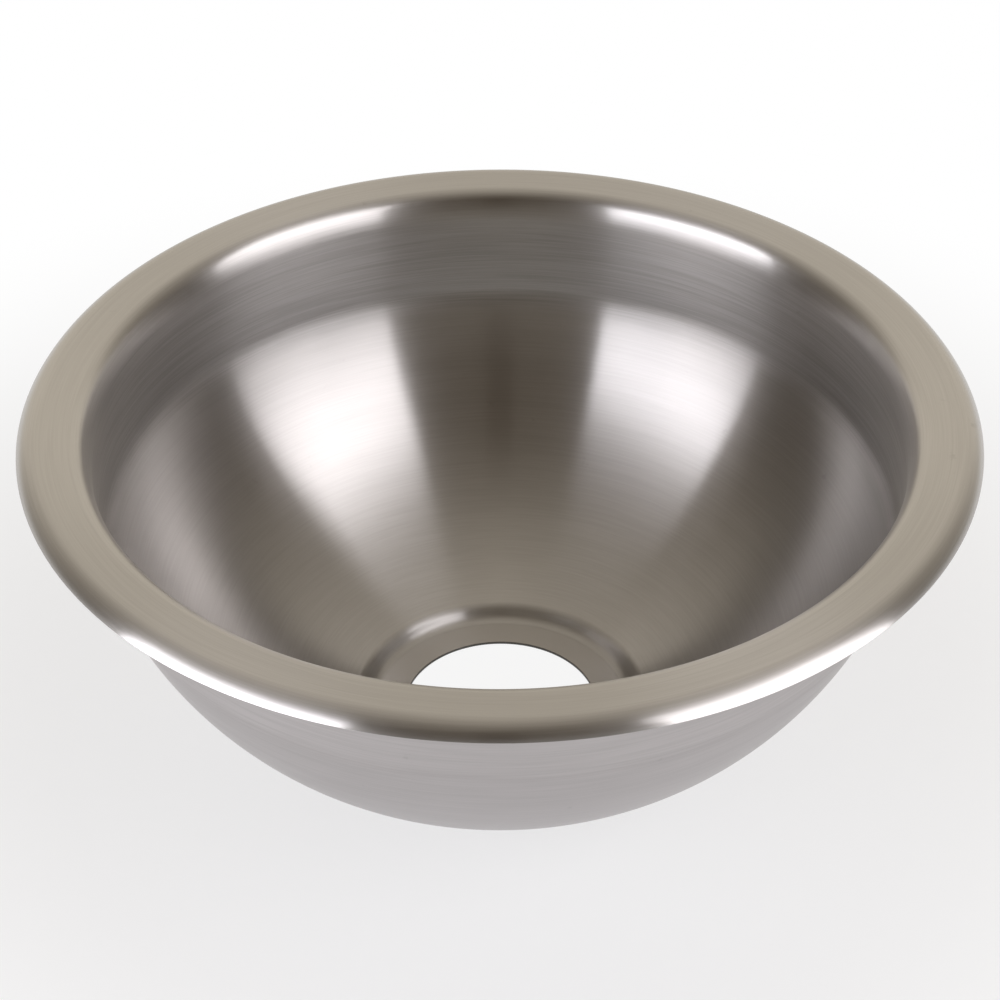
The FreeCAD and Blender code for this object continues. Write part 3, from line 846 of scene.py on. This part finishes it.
class SINK_OT_gasket(bpy.types.Operator):
    """Lay the foam strip in the rolled edge"""

    bl_idname = "sink.gasket"
    bl_label = "Gasket"

    def execute(self, context):
        sink = context.scene.sink
        section = gasket_section(sink.sheet, sink.gasket)
        slit = sink.gasket.joint_gap / (sink.sheet.mouth_radius + sink.sheet.flange_width)
        sweep = FULL_TURN - slit
        strip = turned_mesh("gasket_strip", section, sink.gasket.segments, QUARTER_TURN, sweep)
        strip.data.materials.append(foam(sink.finishes))
        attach(strip, "sink")
        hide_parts("rim_gasket")
        return {"FINISHED"}


class SINK_OT_studs(bpy.types.Operator):
    """Weld the threaded studs under the flange"""

    bl_idname = "sink.studs"
    bl_label = "Studs"

    def execute(self, context):
        sink = context.scene.sink
        stud, stud_faces = threaded_stud(sink.studs, STUD_LOW.z, STUD_HIGH.z)
        vertices, faces = [], []
        for station in STATIONS:
            base = len(vertices)
            vertices += [place + Vector((station.x, station.y, 0)) for place in stud]
            faces += [tuple(base + corner for corner in face) for face in stud_faces]
        mesh = bpy.data.meshes.new("threaded_studs")
        mesh.from_pydata(vertices, [], faces)
        mesh.shade_smooth()
        mesh.set_sharp_from_angle(angle=SHARP_EDGE)
        mesh.materials.append(rolled_thread(sink.finishes))
        studs = bpy.data.objects.new("threaded_studs", mesh)
        context.scene.collection.objects.link(studs)
        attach(studs, "sink")
        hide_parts("weld_studs")
        return {"FINISHED"}


class SINK_OT_hardware(bpy.types.Operator):
    """Break the edges of the clamps, washers and nuts and plate them"""

    bl_idname = "sink.hardware"
    bl_label = "Clamps, washers and nuts"

    def execute(self, context):
        sink = context.scene.sink
        strap_zinc = zinc_plate(sink.finishes, "zinc_strap")
        fastener_zinc = zinc_plate(sink.finishes, "zinc_fastener")
        for name, node in frame["nodes"].items():
            if not name.startswith(("clamp", "washer", "hex_nut")):
                continue
            node.data.materials.clear()
            node.data.materials.append(strap_zinc if name.startswith("clamp") else fastener_zinc)
            weld = node.modifiers.new("joined edges", "WELD")
            weld.merge_threshold = SAME_PLACE
            rounding = node.modifiers.new("broken edges", "BEVEL")
            rounding.width = sink.hardware.edge_rounding
            rounding.segments = sink.hardware.edge_faces
            rounding.limit_method = "ANGLE"
            rounding.angle_limit = SHARP_EDGE
            rounding.harden_normals = True
        return {"FINISHED"}


class SINK_OT_stage(bpy.types.Operator):
    """Set the floor, the tent, the lamps and the camera"""

    bl_idname = "sink.stage"
    bl_label = "Stage"

    def execute(self, context):
        scene = context.scene
        sink = scene.sink
        scene.view_settings.view_transform = "Standard"
        lay_floor(scene, sink.stage)
        hang_tent(scene, sink.tent)
        hang_softbox(scene, "left_softbox", sink.left_softbox)
        hang_softbox(scene, "right_softbox", sink.right_softbox)
        light_world(scene, sink.stage)
        place_camera(scene, sink.stage)
        return {"FINISHED"}


def background_rays(finish):
    """1 for rays from the camera and for reflected or refracted ones, 0 for those that light things."""
    camera, glossy, transmission = (
        finish.node("ShaderNodeLightPath", {}, {}, f"Is {kind} Ray")
        for kind in ("Camera", "Glossy", "Transmission")
    )
    return finish.limited(camera + glossy + transmission, low=0.0, high=1.0)


def stage_mesh(scene, name, vertices, faces):
    """Adds a plain mesh of the stage."""
    mesh = bpy.data.meshes.new(name)
    mesh.from_pydata(vertices, [], faces)
    thing = bpy.data.objects.new(name, mesh)
    scene.collection.objects.link(thing)
    return thing


def lay_floor(scene, stage):
    """Pale floor that fades to white away from the sink and keeps its shadow; it is clear from below."""
    reach = stage.floor_reach
    corners = [(-reach, -reach, 0), (reach, -reach, 0), (reach, reach, 0), (-reach, reach, 0)]
    floor = stage_mesh(scene, "floor", corners, [(0, 1, 2, 3)])
    finish = Finish(bpy.data.materials.new("pale_floor"))
    place = finish.place()
    distance = finish.node("ShaderNodeVectorMath", {"operation": "LENGTH"}, {0: place}, "Value")
    past_outlet = finish.limited(distance, stage.outlet_start, stage.outlet_end, stage.outlet_shadow, 1.0)
    near_sink = finish.limited(distance, stage.shadow_start, stage.shadow_end, 1.0, 0.0)
    whitened = 1.0 - stage.shadow_share * (past_outlet * near_sink)
    mottle = finish.noise(place, scale=60.0, detail=3.0)
    tone = finish.blend(mottle, dimmed(stage.floor_tone, stage.floor_mottle), stage.floor_tone)
    paint = finish.principled({"Base Color": tone, "Roughness": stage.floor_roughness})
    white = finish.node("ShaderNodeEmission", {}, {"Color": (1, 1, 1, 1), "Strength": 1.0})
    above = finish.mix(background_rays(finish) * whitened, paint, white)
    below = finish.node("ShaderNodeBsdfTransparent")
    seen_from_below = finish.node("ShaderNodeNewGeometry", {}, {}, "Backfacing")
    floor.data.materials.append(finish.close(finish.mix(seen_from_below, above, below)))


def hang_tent(scene, tent):
    """Dome of cloth, bright behind the sink and dark behind the camera, which looks through it."""
    columns = tent.columns
    vertices, faces = [], []
    for ring in range(tent.rings + 1):
        rise = heading(QUARTER_TURN * ring / tent.rings)
        for column in range(columns):
            around = heading(FULL_TURN * column / columns) * rise.x
            vertices.append(Vector((around.x, around.y, rise.y)) * tent.radius)
    for ring in range(tent.rings):
        low, high = ring * columns, (ring + 1) * columns
        for column in range(columns):
            after = (column + 1) % columns
            faces.append((low + column, high + column, high + after, low + after))
    dome = stage_mesh(scene, "tent", vertices, faces)
    dome.visible_camera = False
    finish = Finish(bpy.data.materials.new("tent_cloth"))
    across, depth, _ = finish.split(finish.place())
    sideways = finish.function("ABSOLUTE", across / tent.radius)
    backward = depth / tent.radius
    roof = finish.limited(backward, low=-0.72, high=0.15) * (1.0 - tent.roof_fall * sideways)
    back = finish.limited(backward, low=0.0, high=1.0)
    flanks = finish.limited(sideways, low=0.0, high=0.6) * finish.limited(backward, low=0.5, high=0.8)
    narrow = finish.limited(sideways, 0.04, 0.09, 1.0, 0.0)
    in_front = finish.limited(backward, -0.6, -0.5, 1.0, 0.0)
    lit = tent.dusk + tent.roof * roof + tent.back * back + tent.flanks * flanks
    cloth = finish.blend(lit * (1.0 - narrow * in_front), tent.shade, tent.tone)
    glow = finish.node("ShaderNodeEmission", {}, {"Color": cloth, "Strength": tent.strength})
    dome.data.materials.append(finish.close(glow))


def hang_softbox(scene, name, softbox):
    """Soft lamp that stands in front of the sink, to one side of the camera."""
    out = Vector((math.sin(softbox.bearing), -math.cos(softbox.bearing), 0))
    lamp = bpy.data.lights.new(name, "AREA")
    lamp.shape = "RECTANGLE"
    lamp.size = softbox.width
    lamp.size_y = softbox.top - softbox.foot
    lamp.energy = softbox.radiance * math.pi * lamp.size * lamp.size_y
    lamp.color = softbox.tone
    stand = bpy.data.objects.new(name, lamp)
    stand.location = out * softbox.distance + Vector((0, 0, (softbox.foot + softbox.top) / 2))
    stand.rotation_euler = (-out).to_track_quat("-Z", "Y").to_euler()
    stand.visible_camera = False
    scene.collection.objects.link(stand)


def light_world(scene, stage):
    """White beyond the set."""
    scene.world = bpy.data.worlds.new("white_ground")
    finish = Finish(scene.world)
    strength = stage.world_light + background_rays(finish) * (1.0 - stage.world_light)
    finish.close(finish.node("ShaderNodeBackground", {}, {"Color": (1, 1, 1, 1), "Strength": strength}))


def place_camera(scene, stage):
    """Camera at the photograph's viewing angle."""
    camera = bpy.data.objects.new("camera", bpy.data.cameras.new("camera"))
    rise = stage.camera_elevation
    back = Vector((0, -math.cos(rise), math.sin(rise)))
    camera.location = Vector((0, 0, stage.camera_aim)) + back * stage.camera_distance
    look = (-back).to_track_quat("-Z", "Y").to_matrix()
    camera.rotation_euler = (look @ Matrix.Rotation(-stage.camera_roll, 3, "Z")).to_euler()
    camera.data.lens = stage.camera_lens
    camera.data.sensor_width = stage.camera_sensor
    scene.collection.objects.link(camera)
    scene.camera = camera


class SINK_PT_panel(bpy.types.Panel):
    """Sizes, finishes and steps of the sink"""

    bl_label = "Round sink"
    bl_idname = "SINK_PT_panel"
    bl_space_type = "VIEW_3D"
    bl_region_type = "UI"
    bl_category = "Sink"

    def draw(self, context):
        for step in STEPS:
            self.layout.operator(step.bl_idname)
        for name in SinkSettings.__annotations__:
            group = getattr(context.scene.sink, name)
            box = self.layout.box()
            box.label(text=name.replace("_", " ").capitalize())
            for item in type(group).__annotations__:
                box.prop(group, item)


STEPS = (SINK_OT_sheet, SINK_OT_gasket, SINK_OT_studs, SINK_OT_hardware, SINK_OT_stage)
SIZES = (SheetSizes, GasketSizes, StudSizes, HardwareSizes, BrushSizes)
LOOKS = (SteelLook, HardwareLook, StageSettings, TentSettings, LeftSoftbox, RightSoftbox)
CLASSES = (*SIZES, *LOOKS, SinkSettings, *STEPS, SINK_PT_panel)


def register():
    for item in CLASSES:
        bpy.utils.register_class(item)
    bpy.types.Scene.sink = bpy.props.PointerProperty(type=SinkSettings)


def unregister():
    del bpy.types.Scene.sink
    for item in reversed(CLASSES):
        bpy.utils.unregister_class(item)


def main():
    register()
    bpy.ops.sink.sheet()
    bpy.ops.sink.gasket()
    bpy.ops.sink.studs()
    bpy.ops.sink.hardware()
    bpy.ops.sink.stage()


if __name__ == "__main__":
    main()
